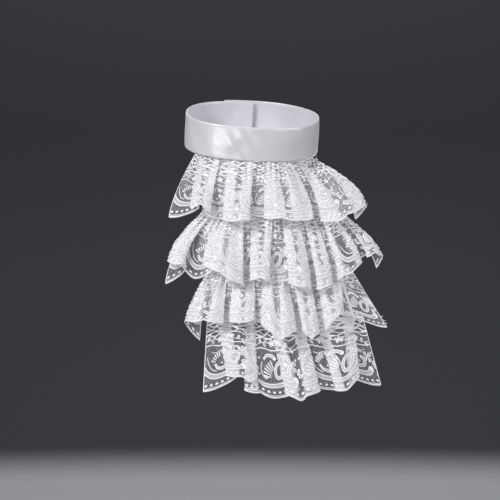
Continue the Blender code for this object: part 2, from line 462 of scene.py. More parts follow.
RING_LENGTH = float(ring_curve()[2][-1])
print("ring", round(RING_LENGTH), "mm round, cut", round(RING_LENGTH + LAP), "mm long")

# %% Faces of a grid, and its flat map
def grid_faces(rows, columns):
    """Quads of a grid of points, seen from the front."""
    index = np.arange(rows * columns).reshape(rows, columns)
    corners = (index[:-1, :-1], index[1:, :-1], index[1:, 1:], index[:-1, 1:])
    return np.stack([c.ravel() for c in corners], axis=1)


def write_map(obj, name, pairs):
    """Writes two numbers for each point to a UV map."""
    layer = obj.data.uv_layers.new(name=name)
    corner = np.zeros(len(obj.data.loops), dtype=np.int32)
    obj.data.loops.foreach_get("vertex_index", corner)
    layer.data.foreach_set("uv", np.asarray(pairs)[corner].astype(np.float32).ravel())


def lay_flat(obj, flat):
    """Writes each point's place on the flat cloth to the UV map."""
    write_map(obj, "UVMap", np.asarray(flat) / CLOTH_SCALE)


def smooth_noise(x, y, seed, waves=6):
    """A soft, even wobble between about -1 and 1, from a few slanted waves."""
    rng = np.random.default_rng(seed)
    total = 0.0
    for k in range(waves):
        a, b = rng.uniform(-1.0, 1.0, 2)
        total = total + np.sin((a * x + b * y) * (0.7 + 0.35 * k) + rng.uniform(0.0, 6.3))
    return total / 3.2


# %% [markdown]
# ## The neckband
# The band is one strip of satin folded double: it runs up the outside, over the top, down the
# inside and back under the bottom, where its raw edges meet. A curve with a bevel could make
# it, but here the section is a short list of places round the fold, swept along the ring, so
# the folds stay round and puff a little where the turned edges lie inside.

# %% The section of the folded band
FOLD_ROUND = 0.9
END_PINCH = 0.35
END_REACH = 2.5
PUFF_LEAST = 0.78
PUFF_MORE = 0.25
PUFF_HEIGHT = 15.0
PUFF_REACH = 2.2
CREASE_WIDE = 0.26
CREASE_SLANT = 0.20
CREASE_FINE = 0.62
CORNERS = (0.36, 0.64)
CORNER_REACH = 30.0
MIDDLE = 0.475
MIDDLE_REACH = 17.0


def band_section(straight=16, bend=6):
    """Rows of (height, side): the height in the band, and -1 inside to 1 outside."""
    half = BAND_HEIGHT / 2 - FOLD_ROUND
    turns = np.linspace(0, math.pi, bend + 2)[1:-1]
    rows = [(z, 1.0) for z in np.linspace(-half, half, straight)]
    rows += [(half + FOLD_ROUND * math.sin(a), math.cos(a)) for a in turns]
    rows += [(z, -1.0) for z in np.linspace(half, -half, straight)]
    rows += [(-half - FOLD_ROUND * math.sin(a), -math.cos(a)) for a in turns]
    return np.array(rows)


def band_creases(s, z):
    """Soft hollows of a worn band, with creases at its front corners and near its middle."""

    def near(share, reach):
        return np.exp(-((s - RING_LENGTH * share) / reach) ** 2)

    corner = near(CORNERS[0], CORNER_REACH) + near(CORNERS[1], CORNER_REACH)
    wide = smooth_noise(s / 16.0, z / 9.0, 5) * CREASE_WIDE
    slant = np.sin((s + z * 0.8) / 4.2) * CREASE_SLANT * corner
    fine = smooth_noise(s / 3.4, z / 3.6, 11) * CREASE_FINE * near(MIDDLE, MIDDLE_REACH)
    return wide + slant + fine


# %% Sweep the section round the ring
def make_neckband(columns=441):
    """The folded band as one mesh, and the width and length that its strip was cut to."""
    section = band_section()
    x, y, length = ring_curve()
    s = np.linspace(0.0, RING_LENGTH + LAP, columns)
    here = s % RING_LENGTH
    px, py = np.interp(here, length, x), np.interp(here, length, y)
    wx, wy = np.interp(here, length, np.gradient(x)), np.interp(here, length, np.gradient(y))
    nx, ny = -wy / np.hypot(wx, wy), wx / np.hypot(wx, wy)
    flip = np.sign(nx * px + ny * py)
    lift = LAP_LIFT * ease((s - RING_LENGTH + LAP_RUN - LAP / 2) / (LAP_RUN - LAP / 2))
    pinch = END_PINCH + (1.0 - END_PINCH) * ease(np.minimum(s, s[-1] - s) / END_REACH)
    z, side = section[:, 0][:, None], section[:, 1][:, None]
    puff = PUFF_LEAST + PUFF_MORE * np.exp(-((np.abs(z) - PUFF_HEIGHT) / PUFF_REACH) ** 2)
    out = side * puff * pinch + lift + BAND_BULGE * (1.0 - (2.0 * z / BAND_HEIGHT) ** 2)
    out = out + band_creases(s[None, :], z) * np.maximum(side, 0.0) * pinch
    grid = np.stack([px + nx * flip * out, py + ny * flip * out, z + 0.0 * s], axis=-1)
    rise, through = np.diff(section[:, 0]), np.diff(section[:, 1]) * BAND_WALL / 2
    flat_run = np.concatenate([[0.0], np.cumsum(np.hypot(rise, through))])
    points = tilt(grid.reshape(-1, 3))
    obj = add_mesh("satin_neckband", points, grid_faces(*grid.shape[:2]), SATIN)
    flat = np.stack(np.broadcast_arrays(s[None, :], flat_run[:, None]), axis=-1)
    lay_flat(obj, flat.reshape(-1, 2))
    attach(obj, "root")
    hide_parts("neckband")
    cut = (float(s[-1]) * MM, float(flat_run[-1]) * MM)
    return obj, cut


neckband, band_cut = make_neckband()
print("neckband cut", [round(c * 1000) for c in band_cut], "mm,", triangles(neckband), "triangles")

# %% [markdown]
# ## The fastening tapes
# The ends of the band lap at the back and are held by a hook tape on a loop tape. The solids
# have the right shape, so they stay and only get a matt finish, with the sheen of short hairs.

# %% Tapes
for name in ("hook_tape", "loop_tape"):
    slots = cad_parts[name].data.materials
    slots.clear()
    slots.append(TAPE)

# %% [markdown]
# ## How a ruffle hangs
# A ruffle is a straight strip of lace, drawn up on a thread at its sewn edge and free at its
# hem. Cloth simulation would shake it into folds, but not into these folds. So each ruffle
# has a short table with one row a fold: where it is sewn, how wide it stands at the hem, how
# far forward, and how deep the hem hangs along it. A smooth line through the rows gives the
# hem seen from below, and the sheet runs from the gathers to that line.

# %% Ground surface
FRONT = 52.1
TOP = -31.0
LEAN = 0.20
CHEST_BOW = 0.0012
NECK_IN = 4.4
NECK_REACH = 61.0
BOW_FADE = 50.0


def neck_bow(x):
    """How far the ring, a little inside the neckband, falls back from its front."""
    across = np.minimum(np.abs(x), NECK_REACH) / (BAND_HALF_WIDTH - NECK_IN)
    share = (1.0 - across ** BAND_ROUNDNESS) ** (1.0 / BAND_ROUNDNESS)
    return (BAND_HALF_DEPTH - NECK_IN) * (1.0 - share)


def ground(x, z, deep):
    """A point standing deep mm in front of the ground surface."""
    near_neck = ease((z - TOP + BOW_FADE) / BOW_FADE)
    bow = near_neck * neck_bow(x) + (1.0 - near_neck) * CHEST_BOW * x * x
    y = -(FRONT + LEAN * (TOP - z) + deep) + bow
    return np.stack([x, y, z], axis=-1)


def neck_rise(x):
    """The height of the lower edge of the tilted neckband against its front."""
    back = neck_bow(x) * math.sin(math.radians(BAND_PITCH))
    return back - x * math.sin(math.radians(BAND_ROLL))


# %% Fold tables
# Edge: where a free end is sewn, where it hangs, how far forward and how low, and how far its
# corner is turned flat. Fold: where its middle is sewn, its left and right at the hem, how far
# forward it stands, how much its sides tuck under, and how low the hem hangs at its left, its
# middle, its right and in the valley after it. Ruffle: the height of its sewn edge, how far
# that edge follows the neckband, and how soon the cloth fans out at each end.
Edge = namedtuple("Edge", "root x deep low turn")
Fold = namedtuple("Fold", "root left right deep tuck low_left low_mid low_right low_valley")
Ruffle = namedtuple("Ruffle", "name root_z rise fan_left fan_right start folds end")

RUFFLES = (
    Ruffle("ruffle_1", -29.5, 1.0, 1.5, 1.9, Edge(-57, -86, 12, 63, 0), (
        Fold(-44, -63, -42, 30, 3, 50, 45, 54, 60),
        Fold(-12, -30, -2, 28, 5, 61, 63, 62, 59),
        Fold(28, 12, 63, 27, 7, 59, 62, 61, 59),
        Fold(53, 70, 117, 28, 6, 63, 62, 47, 57),
    ), Edge(60, 106, 7, 66, 0)),
    Ruffle("ruffle_2", -80.5, 0.0, 1.8, 1.5, Edge(-49, -89, 9, 80, 21), (
        Fold(-42, -86, -68, 26, 4, 54, 55, 54, 70),
        Fold(-21, -50, -9, 32, 7, 54, 67, 75, 73),
        Fold(12, -2, 18, 27, 4, 71, 68, 72, 73),
        Fold(39, 37, 60, 29, 4, 73, 78, 82, 79),
        Fold(56, 66, 82, 25, 3, 81, 78, 76, 72),
        Fold(72, 88, 112, 28, 2, 71, 66, 53, 50),
        Fold(84, 118, 134, 24, 1, 49, 44, 49, 55),
    ), Edge(88, 128, 12, 64, 0)),
    Ruffle("ruffle_3", -136.3, 0.0, 1.5, 1.0, Edge(-42, -53, 10, 80, 0), (
        Fold(-33, -68, -29, 28, 5, 57, 57, 58, 55),
        Fold(-9, -23, 3, 26, 4, 57, 57, 55, 55),
        Fold(23, 9, 45, 33, 6, 57, 75, 64, 59),
        Fold(49, 51, 68, 28, 4, 66, 73, 67, 57),
        Fold(71, 75, 93, 27, 3, 67, 56, 46, 48),
    ), Edge(98, 141, 10, 68, 0)),
    Ruffle("ruffle_4", -184.0, 0.0, 1.1, 1.0, Edge(-45, -50, 8, 84, 0), (
        Fold(-14, -26, 6, 24, 7, 63, 64, 77, 86),
        Fold(31, 34, 69, 26, 7, 80, 89, 78, 78),
        Fold(81, 85, 109, 26, 6, 80, 77, 65, 57),
    ), Edge(112, 133, 8, 79, 0)),
)
print(sum(len(r.folds) for r in RUFFLES), "large folds in", len(RUFFLES), "ruffles")

# %% From the table to a line of knots
VALLEY_DEEP = 13.0
NEAR_CROWN = 0.98
FLANK = 0.75
TUCK_DEEP = 0.62
TUCK_MORE = 3.2
TUCK_MOST = 0.45
ROOT_TUCK = 0.66
ROOT_EDGE = 0.26
EDGE_CLEAR = 15.0
LEAST_GAP = 0.3


def hem_knots(ruffle):
    """Rows of (hem x, hem deep, hem drop, root x) along a ruffle, edge to edge."""
    folds = ruffle.folds
    start, end = ruffle.start, ruffle.end
    knots = [(start.x, start.deep, start.low, start.root)]
    if start.turn:
        first = folds[0]
        knots.append((start.x + start.turn, start.deep, (start.low + 3 * first.low_left) / 4,
                      (3 * start.root + first.root) / 4))
    for i, f in enumerate(folds):
        width = f.right - f.left
        tuck = min(f.tuck * TUCK_MORE, width * TUCK_MOST)
        tucked = f.deep * TUCK_DEEP
        before = start.root if i == 0 else (folds[i - 1].root + f.root) / 2
        after = end.root if i == len(folds) - 1 else (f.root + folds[i + 1].root) / 2
        reach = f.root - before
        if i > 0 or start.x < f.left - EDGE_CLEAR and not start.turn:
            knots.append((f.left + tuck, tucked, f.low_left, before + reach * ROOT_TUCK))
        knots.append((f.left, f.deep * FLANK, f.low_left, before + reach * ROOT_EDGE))
        knots.append((f.left + width * 0.25, f.deep * NEAR_CROWN,
                      (f.low_left + f.low_mid) / 2, before + reach * 0.75))
        knots.append((f.left + width * 0.5, f.deep, f.low_mid, f.root))
        reach = after - f.root
        knots.append((f.right - width * 0.25, f.deep * NEAR_CROWN,
                      (f.low_mid + f.low_right) / 2, f.root + reach * 0.25))
        knots.append((f.right, f.deep * FLANK, f.low_right, after - reach * ROOT_EDGE))
        if i < len(folds) - 1 or end.x > f.right + EDGE_CLEAR:
            knots.append((f.right - tuck, tucked, f.low_right, after - reach * ROOT_TUCK))
        if i < len(folds) - 1:
            middle = (f.right + folds[i + 1].left) / 2
            knots.append((middle, VALLEY_DEEP, f.low_valley, after))
    knots.append((end.x, end.deep, end.low, end.root))
    return np.array(knots, dtype=float)


def smooth_line(knots, fine=24):
    """A centripetal spline through the knots, with fine points in each gap."""
    knots = np.asarray(knots, dtype=float)
    line = np.vstack([2 * knots[0] - knots[1], knots, 2 * knots[-1] - knots[-2]])
    gap = np.sqrt(np.linalg.norm(np.diff(line[:, :2], axis=0), axis=1))
    at = np.concatenate([[0.0], np.cumsum(np.maximum(gap, LEAST_GAP))])
    out = []
    for i in range(1, len(line) - 2):
        p, k = line[i - 1:i + 3], at[i - 1:i + 3]
        for t in np.linspace(k[1], k[2], fine, endpoint=False):
            a = [p[j] + (p[j + 1] - p[j]) * (t - k[j]) / (k[j + 1] - k[j]) for j in range(3)]
            b = [a[j] + (a[j + 1] - a[j]) * (t - k[j]) / (k[j + 2] - k[j]) for j in range(2)]
            out.append(b[0] + (b[1] - b[0]) * (t - k[1]) / (k[2] - k[1]))
    out.append(knots[-1])
    return np.array(out)


# %% [markdown]
# ## From the line to a hanging surface
# The surface is worked out once as a fine grid, from the sewn edge to the hem. Gathers are
# deepest just under the sewn edge and die out below it; soft columns, a slow wobble and a
# slight cup in each scallop keep the cloth from looking like a stretched skin. Lace puffs out
# of its gathers before it falls, so a thread woven straight along the strip rises over each
# fold in an arc: the rows of the grid are spaced by the length of cloth above them. Anything
# drawn on the flat cloth can then be carried to its place in the folds by looking it up here.

# %% The waves of a ruffle
CLOTH_DEPTH = 75.0
SCALLOP = 40.0
SCALLOP_DROP = 4.0
SCALLOP_POWER = 0.7
ROOT_DEEP = 1.75
DEPTH_POWER = 1.3
PUFF_POWER = 1.6
ROOT_SHARE = 0.03
GATHER = 0.75
GATHER_PITCH = 17.0
GATHER_FADE = 2.0
PLEAT = 1.3
PLEAT_PITCH = 7.6
COLUMN = 1.1
COLUMN_PITCH = 23.0
WOBBLE = 0.7
CUP = 1.1


def scallop_rise(turn):
    """How far a scalloped hem stands above its lowest line, at half a turn a scallop."""
    return SCALLOP_DROP * (1.0 - np.abs(np.sin(turn)) ** SCALLOP_POWER)


def swell(v, least, full, fade, gone):
    """Grows down the strip from least to 1 at full, and dies out over gone below fade."""
    return (least + (1.0 - least) * ease(v / full)) * (1.0 - ease((v - fade) / gone))


# %% The hanging surface
class Hanging:
    """The surface of one ruffle, looked up by place on the flat cloth in millimetres."""

    def __init__(self, ruffle, columns=720, rows=72):
        self.ruffle = ruffle
        line = smooth_line(hem_knots(ruffle))
        step = np.linalg.norm(np.diff(line[:, :2], axis=0), axis=1)
        length = np.concatenate([[0.0], np.cumsum(step)])
        self.length = float(length[-1])
        self.scallops = max(1, round(self.length / SCALLOP))
        self.columns, self.rows = columns, rows
        s = np.linspace(0.0, self.length, columns + 1)
        hem_x, hem_deep, low, root_x = (np.interp(s, length, line[:, k]) for k in range(4))
        v = np.linspace(0.0, 1.0, rows + 1)[:, None]
        fan = ruffle.fan_left + (ruffle.fan_right - ruffle.fan_left) * s / self.length
        x = root_x + (hem_x - root_x) * (1.0 - (1.0 - v) ** fan)
        share = (v ** DEPTH_POWER + 1.0 - (1.0 - v) ** PUFF_POWER) / 2.0
        share = ROOT_SHARE + (1.0 - ROOT_SHARE) * share
        deep = ROOT_DEEP + (hem_deep - ROOT_DEEP) * share + self.ripples(s, v)
        z = ruffle.root_z + ruffle.rise * neck_rise(root_x) * (1.0 - v) - low * v
        self.grid = self.spaced(ground(x, z, deep))
        way = np.gradient(self.grid, axis=1)
        normal = np.cross(np.gradient(self.grid, axis=0), way)
        self.normal = normal / np.linalg.norm(normal, axis=2, keepdims=True)
        self.way = way / np.linalg.norm(way, axis=2, keepdims=True)

    def ripples(self, s, v):
        """Gathers at the sewn edge, columns below them, a wobble and cupped scallops."""
        folds = self.ruffle.folds
        seed = len(self.ruffle.name) + folds[0].deep + len(folds)
        gather = GATHER * np.sin(2.0 * math.pi * s / GATHER_PITCH) * (1.0 - v) ** GATHER_FADE
        turn = 2.0 * math.pi * s / COLUMN_PITCH + 1.9 * smooth_noise(s / 24.0, v * 0.6, seed)
        small = COLUMN * swell(v, 0.25, 0.28, 0.45, 0.55) * np.sin(turn)
        turn = 2.0 * math.pi * s / PLEAT_PITCH + 1.6 * smooth_noise(s / 13.0, 0.0, seed)
        uneven = 0.8 + 0.35 * smooth_noise(s / 17.0, 0.0, seed + 2)
        small = small + PLEAT * swell(v, 0.35, 0.10, 0.12, 0.36) * np.sin(turn) * uneven
        slow = smooth_noise(s / 9.0, v * 3.0, seed + 1) * WOBBLE * v
        cup = CUP * v ** 3 * np.cos(2.0 * math.pi * s / self.length * self.scallops)
        return gather + small + slow + cup

    def spaced(self, grid):
        """The same surface with its rows at even lengths of cloth below the sewn edge."""
        run = np.cumsum(np.linalg.norm(np.diff(grid, axis=0), axis=2), axis=0)
        run = np.vstack([np.zeros(run.shape[1]), run]) / run[-1]
        even = np.linspace(0.0, 1.0, self.rows + 1)
        columns = [[np.interp(even, run[:, j], grid[:, j, k]) for k in range(3)]
                   for j in range(grid.shape[1])]
        return np.array(columns).transpose(2, 0, 1)

    def hem(self, s):
        """The rise of this strip's hem, with a whole number of scallops from end to end."""
        return scallop_rise(math.pi * s / self.length * self.scallops)

    def carry(self, across, down, stand):
        """Points at a place on the flat cloth or past its ends, standing off it by stand."""
        u = np.clip(across / self.length, 0.0, 1.0) * self.columns
        w = np.clip(down / CLOTH_DEPTH, 0.0, 1.0) * self.rows
        over = across - np.clip(across, 0.0, self.length)
        i = np.minimum(w.astype(int), self.rows - 1)
        j = np.minimum(u.astype(int), self.columns - 1)
        a, b = (w - i)[..., None], (u - j)[..., None]

        def mixed(of):
            top = of[i, j] * (1 - b) + of[i, j + 1] * b
            foot = of[i + 1, j] * (1 - b) + of[i + 1, j + 1] * b
            return top * (1 - a) + foot * a

        place = mixed(self.grid) + mixed(self.normal) * np.asarray(stand)[..., None]
        return place + mixed(self.way) * over[..., None]


HANGING = {r.name: Hanging(r) for r in RUFFLES}
for name, hanging in HANGING.items():
    print(name, round(hanging.length), "mm of hem,", hanging.scallops, "scallops")

# %% [markdown]
# ## The net ground
# The net is one sheet per ruffle. Its grid is laid on the flat cloth first, with the hem cut
# to scallops, and then carried to the folds. What lies behind the net closes its holes, and
# this is partly painted light: the closed net shows white where the layers behind lie in
# shade. The ruffle's own layers are found row by row in its grid. Other things behind it, such
# as the panel or an edge that has rolled, come from a short table of zones: where a zone starts
# and ends across the garment, and how much more or less it closes the net.

# %% Where a fold lies doubled
CROWD = 0.6
LAYER_GAP = 3.0
SPREADS = 5
ZONE_FADE = 14.0
Zone = namedtuple("Zone", "left right more")
# Where a zone closes the net more, it also paints in more brightness.
BEHIND = {
    "ruffle_1": (Zone(-45, 78, 0.14), Zone(78, 112, 0.38)),
    "ruffle_2": (Zone(-50, -6, 0.36), Zone(-6, 60, 0.10)),
    "ruffle_3": (Zone(-55, 90, 0.18),),
    "ruffle_4": (Zone(-60, 125, -0.34),),
}


def zones_behind(name, x):
    """How much more or less than by its own layers a ruffle's net is closed at x."""
    total = 0.0 * x
    for zone in BEHIND[name]:
        inside = ease((x - zone.left) / ZONE_FADE + 0.5)
        inside = inside * ease((zone.right - x) / ZONE_FADE + 0.5)
        total = total + zone.more * inside
    return total


def layers_behind(points, step):
    """From 0 to 1 for each point: whether a layer lies behind it, or how gathers crowd it."""
    found = np.zeros(points.shape[:2])
    for i, row in enumerate(points):
        x, y = row[:, 0], row[:, 1]
        left, right = np.minimum(x[:-1], x[1:]), np.maximum(x[:-1], x[1:])
        behind = (y[:-1] + y[1:]) / 2.0
        crossed = (left[None, :] <= x[:, None]) & (x[:, None] < right[None, :])
        found[i] = (crossed & (behind[None, :] > y[:, None] + LAYER_GAP)).any(axis=1)
    for _ in range(SPREADS):
        found[:, 1:-1] = (found[:, :-2] + found[:, 1:-1] * 2 + found[:, 2:]) / 4
        found[1:-1] = (found[:-2] + found[1:-1] * 2 + found[2:]) / 4
    drawn = np.linalg.norm(np.gradient(points, axis=1), axis=2)
    return np.maximum(found, np.clip(step / drawn - 1.0, 0.0, 1.0) * CROWD)


# %% Net sheets
def make_net(name, columns=520, rows=52):
    """One ruffle's sheet of net, with a map of its flat cloth and one of what lies behind."""
    hanging = HANGING[name]
    s = np.linspace(0.0, hanging.length, columns + 1)[None, :]
    share = np.linspace(0.0, 1.0, rows + 1)[:, None]
    down = share * (CLOTH_DEPTH - hanging.hem(s))
    across = s + 0.0 * down
    points = hanging.carry(across, down, 0.0 * down)
    obj = add_mesh(name + "_net", points.reshape(-1, 3), grid_faces(rows + 1, columns + 1), NET)
    lay_flat(obj, np.stack([across, down], axis=-1).reshape(-1, 2))
    # Where layers lie behind, the net is closed: real doubling, and painted brightness in place of
    # their shade.
    doubled = layers_behind(points, hanging.length / columns)
    doubled = np.clip(doubled + zones_behind(name, points[..., 0]), 0.0, 1.0)
    write_map(obj, "Layers", np.stack([doubled, doubled], axis=-1).reshape(-1, 2))
    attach(obj, "root")
    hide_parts(name)
    area = sum(p.area for p in obj.data.polygons) / (hanging.length * CLOTH_DEPTH * MM * MM)
    print(name, "has", round(area, 2), "of its cut area,", round(doubled.mean(), 2), "doubled")
    return obj


NETS = {name: make_net(name) for name in HANGING}
print("net triangles", {name: triangles(obj) for name, obj in NETS.items()})

# %% [markdown]
# ## Drawing on flat lace
# The pattern is drawn flat, in millimetres: x along the strip and h up from the hem. Three
# strokes are enough. A thread is a narrow strip with a raised middle. A ribbon is a wider
# strip with a thread along each side. A leaf is a pointed shape with a thread round it, and
# petals are short, wide leaves. Each stroke adds points and faces to one of two lists, the
# cloth work or the threads.

# %% A drawing, made of strips
def sideways(path, far):
    """Steps to the left of a path, as far as one number or one for each point says."""
    way = np.gradient(path, axis=0)
    way /= np.linalg.norm(way, axis=1, keepdims=True) + 1e-9
    return np.stack([-way[:, 1], way[:, 0]], axis=1) * np.broadcast_to(far, len(path))[:, None]


class Drawing:
    """Lace work on the flat cloth: lists of points (x, h, stand) and of faces."""

    def __init__(self):
        self.points = []
        self.faces = []
        self.count = 0

    def add(self, points, faces):
        """Adds points, and faces that count from the first of these points."""
        self.points.append(np.asarray(points, dtype=float))
        self.faces.extend([tuple(i + self.count for i in face) for face in faces])
        self.count += len(points)

    def strip(self, path, width, stand, crown):
        """A strip along a path of (x, h), raised by crown in its middle."""
        path = np.asarray(path, dtype=float)
        side = sideways(path, width) / 2
        rows = []
        for share, up in ((1.0, 0.0), (0.0, crown), (-1.0, 0.0)):
            level = np.broadcast_to(stand, len(path))[:, None] + up
            rows.append(np.hstack([path + side * share, level]))
        points = np.stack(rows, axis=1).reshape(-1, 3)
        self.add(points, grid_faces(len(path), 3).tolist())

    def laid(self):
        """All its points in one list, and its faces."""
        return np.vstack(self.points), self.faces


# %% Paths and ovals
def along(knots, step=1.0):
    """A smooth path through a few (x, h) places, with a point every step."""
    line = smooth_line(knots, 12)
    run = np.concatenate([[0.0], np.cumsum(np.linalg.norm(np.diff(line, axis=0), axis=1))])
    count = max(3, int(run[-1] / step))
    s = np.linspace(0.0, run[-1], count + 1)
    return np.stack([np.interp(s, run, line[:, k]) for k in (0, 1)], axis=1)


def widening(h):
    """How much wider a shape is drawn high on the strip, where the gathers narrow it."""
    return float(np.interp(h, [34.0, 75.0], [1.0, 2.2]))


def oval(x, h, long, tall, turn, count=25):
    """Points round an oval, turned by some degrees."""
    t = np.linspace(0.0, 2.0 * math.pi, count)
    a = math.radians(turn)
    px, ph = np.cos(t) * long / 2, np.sin(t) * tall / 2
    return np.stack([x + px * math.cos(a) - ph * math.sin(a),
                     h + px * math.sin(a) + ph * math.cos(a)], axis=1)


# %% Strokes
WORK_STAND = 0.22
WORK_CROWN = 0.08
THREAD_STAND = 0.28
THREAD_CROWN = 0.42
FINE_CROWN = 0.3
CORD = 1.2
RIM = 1.0
RIBBON_RIM = 0.95
FINE = 0.8
DOT_SIDES = 10


class Lace:
    """One stretch of lace: its cloth work, its threads and the strokes that draw them."""

    def __init__(self):
        self.work = Drawing()
        self.thread = Drawing()

    def cord(self, knots, width=CORD):
        """A thick thread through a few places."""
        self.thread.strip(along(knots), width, THREAD_STAND, THREAD_CROWN)

    def ribbon(self, knots, *widths):
        """Cloth work between two cords, its width given at even steps, with a round end."""
        path = along(knots)
        steps = np.linspace(0.0, 1.0, len(widths))
        wide = np.interp(np.linspace(0.0, 1.0, len(path)), steps, widths)
        self.work.strip(path, wide, WORK_STAND, WORK_CROWN)
        for side in (-0.5, 0.5):
            edge = path + sideways(path, wide * side)
            self.thread.strip(edge, RIBBON_RIM, THREAD_STAND, THREAD_CROWN)
        self.dot(*path[-1], wide[-1] * 1.1, wide[-1] * 1.1)

    def leaf(self, x, h, turn, length, width, blunt=0.0):
        """A leaf or petal from its foot at (x, h), pointing along turn in degrees."""
        share = np.linspace(0.0, 1.0, 9)
        half = width / 2 * np.sin(math.pi * share ** (1.0 + blunt)) ** 0.8
        across, up = math.cos(math.radians(turn)) * widening(h), math.sin(math.radians(turn))
        a = math.atan2(up, across)
        spine = np.stack([x + across * share * length, h + up * share * length], axis=1)
        self.work.strip(spine, 2 * half, WORK_STAND, 0.12)
        side = np.array([-math.sin(a), math.cos(a)])
        rim = np.vstack([spine + side * half[:, None], (spine - side * half[:, None])[::-1]])
        self.thread.strip(rim, FINE, THREAD_STAND, FINE_CROWN)

    def flower(self, x, h, petal, petals=5, turn=90.0):
        """Petals round a small ring."""
        wide = widening(h)
        for k in range(petals):
            a = turn + 360.0 * k / petals
            fx = x + math.cos(math.radians(a)) * petal * 0.24 * wide
            fh = h + math.sin(math.radians(a)) * petal * 0.24
            self.leaf(fx, fh, a, petal, petal * 0.80, blunt=0.7)
        ring = oval(x, h, petal * 0.44 * wide, petal * 0.44, 0.0, 9)
        self.thread.strip(ring, FINE, THREAD_STAND + 0.1, 0.4)

    def eye(self, x, h, long, tall, turn, rim):
        """An oval of plain net inside a rim of cloth work with a cord on each side."""
        self.work.strip(oval(x, h, long, tall, turn), rim, WORK_STAND, WORK_CROWN)
        for grow in (-rim, rim):
            ring = oval(x, h, long + grow, tall + grow, turn)
            self.thread.strip(ring, RIM, THREAD_STAND, THREAD_CROWN)

    def rays(self, x, h, near, far, low, high, count):
        """Stripes that spread and widen from one side of a place."""
        for turn in np.radians(np.linspace(low, high, count)):
            way = np.array([math.cos(turn), math.sin(turn)])
            path = np.array([x, h]) + np.linspace(near, far, 7)[:, None] * way
            self.thread.strip(path, np.linspace(0.7, 1.7, 7), THREAD_STAND, FINE_CROWN)

    def dot(self, x, h, long, tall, turn=0.0, sides=DOT_SIDES):
        """A small oval of close work with a raised middle."""
        rim = oval(x, h, long, tall, turn, sides + 1)[:-1]
        points = np.vstack([np.column_stack([rim, np.full(sides, THREAD_STAND)]),
                            [(x, h, THREAD_STAND + 0.35)]])
        self.thread.add(points, [(i, (i + 1) % sides, sides) for i in range(sides)])


print("strokes:", [word for word in dir(Lace) if not word.startswith("_")])

# %% [markdown]
# ## The floral repeat
# Floral lace repeats every two scallops. Along the hem run a picot edge and a row of dots. In
# one scallop, a ribbon sweeps down and along it like a comma, round a smaller one; in the
# other, an open eye stands between stripes and a flower. Above them is a vine on plain net,
# and above that, where the gathers begin, waves of thread leave small holes between them. The
# shapes are the common stock of machine lace, arranged freshly here.

# %% Hem of a scallop
PICOTS = 18
PICOT_RISE = 0.5
EDGE_INSET = 0.7
INNER_THREAD = 2.2
HEM_DOTS = 7
DOT_HEIGHT = 4.9


def hem_height(x):
    """The rise of the hem over one scallop as it is drawn."""
    return scallop_rise(math.pi * x / SCALLOP)


def draw_hem(lace):
    """A picot edge thread, a fine thread inside it and a row of oval dots."""
    fine = np.linspace(0.0, SCALLOP, 4 * PICOTS + 1)
    picots = PICOT_RISE * np.sin(2.0 * math.pi * fine / (SCALLOP / PICOTS))
    edge = np.stack([fine, hem_height(fine) + EDGE_INSET + picots], axis=1)
    lace.thread.strip(edge, CORD, THREAD_STAND, 0.5)
    even = np.linspace(0.0, SCALLOP, 37)
    inner = np.stack([even, hem_height(even) + INNER_THREAD], axis=1)
    lace.thread.strip(inner, 0.5, THREAD_STAND, FINE_CROWN)
    for x in (np.arange(HEM_DOTS) + 0.5) * SCALLOP / HEM_DOTS:
        slope = hem_height(x + 0.5) - hem_height(x - 0.5)
        lace.dot(x, hem_height(x) + DOT_HEIGHT, 3.1, 2.1, math.degrees(math.atan(slope)))


# %% Toothed thread and vine above the scallops
BOUND_HEIGHT = 41.6
TEETH = 9
VINE_HEIGHT = 46.4
VINE_LEAVES = ((3.0, 66), (8.0, -58), (28.0, 66), (33.0, -58), (13.0, 110))


def draw_bound(lace):
    """A toothed thread that winds along the upper edge of the scallop's pattern."""
    x = np.linspace(0.0, SCALLOP, 61)
    level = BOUND_HEIGHT + 1.5 * np.sin(2.0 * math.pi * x / SCALLOP + 0.8)
    teeth = 0.55 * np.abs(np.sin(math.pi * x / (SCALLOP / TEETH)))
    lace.thread.strip(np.stack([x, level + teeth], axis=1), RIM, THREAD_STAND, 0.35)


def vine_height(x):
    """How high the stem of the vine runs."""
    return VINE_HEIGHT + 2.2 * np.sin(2.0 * math.pi * x / SCALLOP)


def draw_vine(lace):
    """A stem that winds along plain net, with leaves on its bends and a small flower."""
    even = np.linspace(0.0, SCALLOP, 19)
    lace.cord(np.stack([even, vine_height(even)], axis=1), 0.6)
    for x, turn in VINE_LEAVES:
        lace.leaf(x, vine_height(x), turn, 4.4, 2.3)
    lace.flower(20.5, 47.4, 2.5)


# %% Waves under the sewn edge
WAVE_HEIGHTS = np.arange(52.0, 75.0, 2.35)
WAVE_CORD = 1.2
WAVE_REACH = 1.1
WAVES = 4


def draw_waves(lace, start):
    """Threads in waves, crest to hollow, so that each pair leaves a row of small holes."""
    x = np.linspace(0.0, SCALLOP, 37)
    place = 2.0 * math.pi * (x + start) / (2.0 * SCALLOP)
    for k, h in enumerate(WAVE_HEIGHTS):
        reach = WAVE_REACH * (1.0 + 0.4 * np.sin(place + 2.1 * k))
        wave = reach * np.sin(WAVES * place + math.pi * k + 1.2 * np.sin(place + 1.7 * k))
        width = WAVE_CORD * (1.0 + 0.3 * np.sin(2 * place + 1.3 * k))
        lace.thread.strip(np.stack([x, h + wave], axis=1), width, THREAD_STAND, THREAD_CROWN)


def new_scallop(start):
    """What both scallops share, for a stretch that begins at start in the repeat."""
    lace = Lace()
    draw_hem(lace)
    draw_bound(lace)
    draw_vine(lace)
    draw_waves(lace, start)
    return lace


